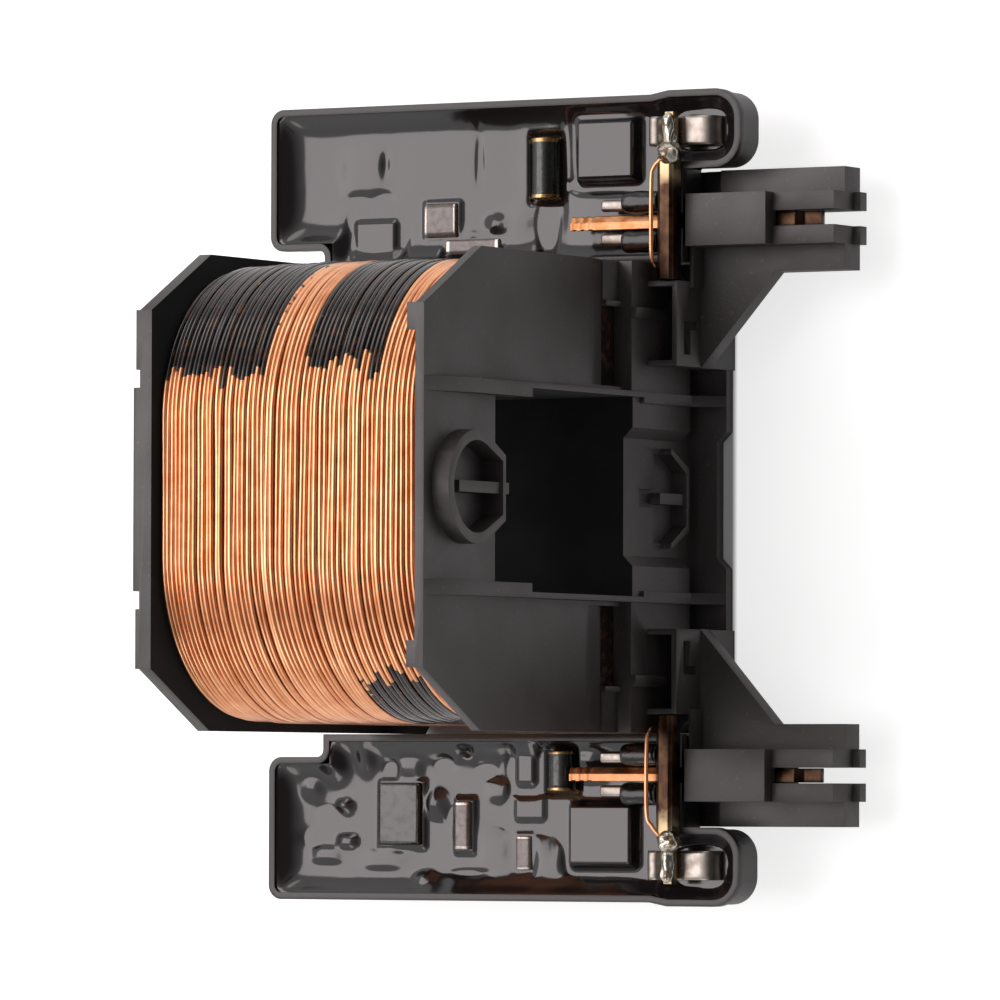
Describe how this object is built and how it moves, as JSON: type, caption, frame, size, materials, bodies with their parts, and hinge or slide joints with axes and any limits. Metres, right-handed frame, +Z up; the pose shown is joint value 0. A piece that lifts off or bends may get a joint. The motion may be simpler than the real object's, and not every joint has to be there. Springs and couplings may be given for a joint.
{
  "type": "contactor coil",
  "caption": "Wound copper coil on a flanged plastic former with potted electronics trays at its sides and fork plug arms at one end.",
  "frame": {"origin": "bottom centre of the bounding box, on the surface that the coil lies on", "axes": "+X along the coil axis towards the plug arms, +Y across the two trays, +Z up from the edge that the coil lies on"},
  "size_m": [0.0524, 0.0656, 0.0438],
  "materials": {
    "former_plastic": "glass-filled plastic, fine matte grain",
    "enamelled_copper": "enamelled copper wire",
    "tray_plastic": "moulded plastic, satin",
    "potting_resin": "glossy black casting resin",
    "circuit_board": "glass fibre laminate",
    "tinned_metal": "tin plated bronze",
    "solder": "cast tin solder",
    "bare_copper": "stamped copper alloy",
    "boot_rubber": "dipped black insulation",
    "moulded_component": "moulded component body under a film of resin"
  },
  "bodies": {
    "root": {"coil_former": "former_plastic", "copper_winding": "enamelled_copper", "lower_centre_pin": "bare_copper", "lower_chip_capacitor": "moulded_component", "lower_chip_resistor": "moulded_component", "lower_circuit_board": "circuit_board", "lower_contact": "bare_copper", "lower_film_capacitor": "moulded_component", "lower_fuse": "moulded_component", "lower_glass_diode": "moulded_component", "lower_inner_boot": "boot_rubber", "lower_inner_prong": "tinned_metal", "lower_lead_wire": "enamelled_copper", "lower_outer_boot": "boot_rubber", "lower_outer_prong": "tinned_metal", "lower_potting_resin": "potting_resin", "lower_power_diode": "moulded_component", "lower_solder_joint": "solder", "lower_spring_strip": "tinned_metal", "lower_tall_resistor": "moulded_component", "lower_tray": "tray_plastic", "upper_centre_pin": "bare_copper", "upper_chip_capacitor": "moulded_component", "upper_circuit_board": "circuit_board", "upper_contact": "bare_copper", "upper_control_chip": "moulded_component", "upper_filter_capacitor": "moulded_component", "upper_glass_diode": "moulded_component", "upper_inner_boot": "boot_rubber", "upper_inner_prong": "tinned_metal", "upper_lead_wire": "enamelled_copper", "upper_outer_boot": "boot_rubber", "upper_outer_prong": "tinned_metal", "upper_potting_resin": "potting_resin", "upper_power_diode": "moulded_component", "upper_solder_joint": "solder", "upper_spring_strip": "tinned_metal", "upper_tray": "tray_plastic"}
  },
  "joints": []
}
